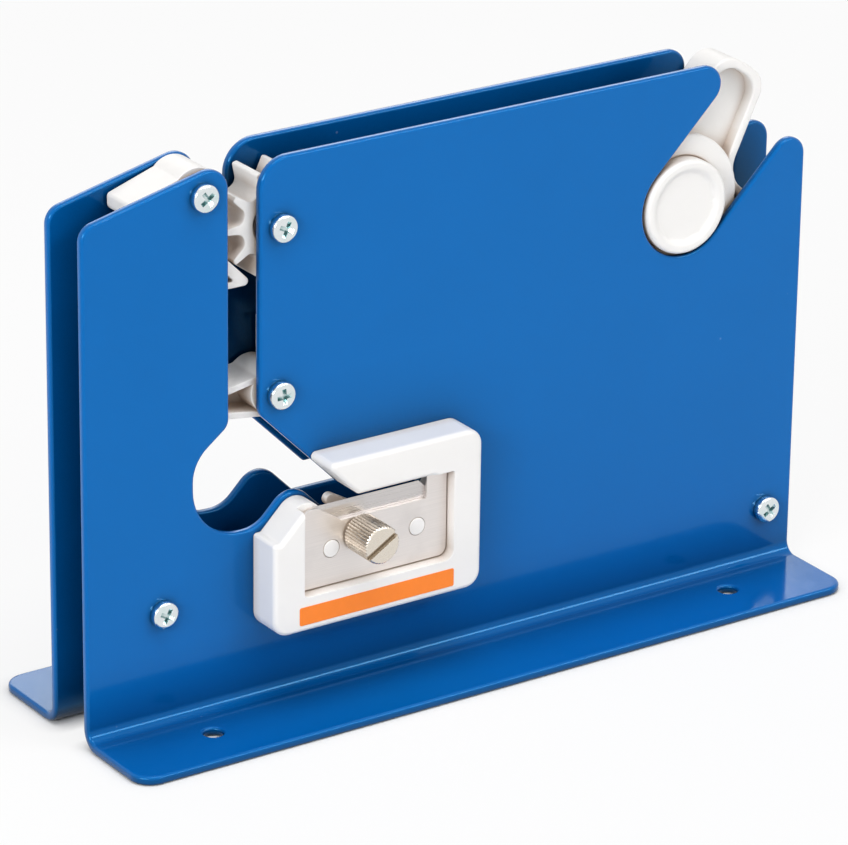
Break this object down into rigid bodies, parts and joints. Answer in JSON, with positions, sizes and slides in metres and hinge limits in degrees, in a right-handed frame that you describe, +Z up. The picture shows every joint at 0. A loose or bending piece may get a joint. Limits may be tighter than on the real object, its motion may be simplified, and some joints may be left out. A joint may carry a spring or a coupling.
{
  "type": "bag neck sealer",
  "caption": "Bench bag neck sealer: folded steel side plates with a bolt-down foot, tape hub, star wheel, sprung levers and a guarded trimmer blade.",
  "frame": {"origin": "middle of the footprint, on the surface that it stands on", "axes": "+X along the plates towards the tape hub, +Y from the trimmer's side to the other, +Z up"},
  "size_m": [0.206, 0.0658, 0.1374],
  "materials": {
    "blue_paint": "glossy blue powder coat over folded steel",
    "white_plastic": "satin off-white moulded plastic",
    "zinc_plate": "bright zinc plate",
    "holder_steel": "brushed stainless steel",
    "blade_steel": "ground blade steel",
    "bush_steel": "turned steel",
    "spring_wire": "drawn spring wire",
    "nickel_plate": "nickel plate on brass",
    "insert_brass": "turned brass",
    "strip_orange": "plain orange adhesive film"
  },
  "bodies": {
    "frame": {"front_side_plate": "blue_paint", "rear_side_plate": "blue_paint", "front_screws": "zinc_plate", "rear_screws": "zinc_plate", "guard_screws": "zinc_plate", "lower_spacers": "bush_steel", "star_wheel_bush": "bush_steel", "pawl_pivot_bush": "bush_steel", "knife_pivot_bush": "bush_steel", "trimmer_guard": "white_plastic", "pawl_spring": "spring_wire", "knife_spring": "spring_wire", "thumb_screw_insert": "insert_brass", "orange_strip": "strip_orange"},
    "star_wheel": {"star_wheel": "white_plastic"},
    "pawl_lever": {"pawl_lever": "white_plastic"},
    "knife_lever": {"knife_lever": "white_plastic", "tape_knife": "blade_steel", "knife_rivets": "zinc_plate"},
    "hub_axle": {"hub_axle_front": "white_plastic", "hub_axle_rear": "white_plastic"},
    "tape_hub": {"tape_hub": "white_plastic"},
    "blade_holder": {"blade_holder_plate": "holder_steel", "trimmer_blade": "blade_steel"},
    "thumb_screw": {"thumb_screw": "nickel_plate"}
  },
  "joints": [
    {"name": "star_wheel_spin", "type": "hinge", "parent": "frame", "child": "star_wheel", "pos_m": [-0.0498, 0, 0.1198], "axis": [0, 1, 0], "continuous": true},
    {"name": "pawl_lever_swing", "type": "hinge", "parent": "frame", "child": "pawl_lever", "pos_m": [-0.071, 0, 0.1312], "axis": [0, 1, 0], "range_deg": [0, 8], "stiffness_Nm_per_rad": 0.02, "springref_deg": -8.59},
    {"name": "knife_lever_swing", "type": "hinge", "parent": "frame", "child": "knife_lever", "pos_m": [-0.0503, 0, 0.0785], "axis": [0, 1, 0], "range_deg": [-30, 0], "stiffness_Nm_per_rad": 0.01, "springref_deg": 14.32},
    {"name": "hub_lift_out", "type": "slide", "parent": "frame", "child": "hub_axle", "axis": [0.7071, 0, 0.7071], "range_m": [0, 0.045]},
    {"name": "tape_hub_spin", "type": "hinge", "parent": "hub_axle", "child": "tape_hub", "pos_m": [0.0667, 0, 0.1021], "axis": [0, 1, 0], "continuous": true},
    {"name": "blade_holder_pull_off", "type": "slide", "parent": "frame", "child": "blade_holder", "axis": [0, -1, 0], "range_m": [0, 0.012]},
    {"name": "thumb_screw_turn", "type": "hinge", "parent": "blade_holder", "child": "thumb_screw", "pos_m": [-0.0317, -0.015, 0.0415], "axis": [0, -1, 0], "continuous": true}
  ]
}
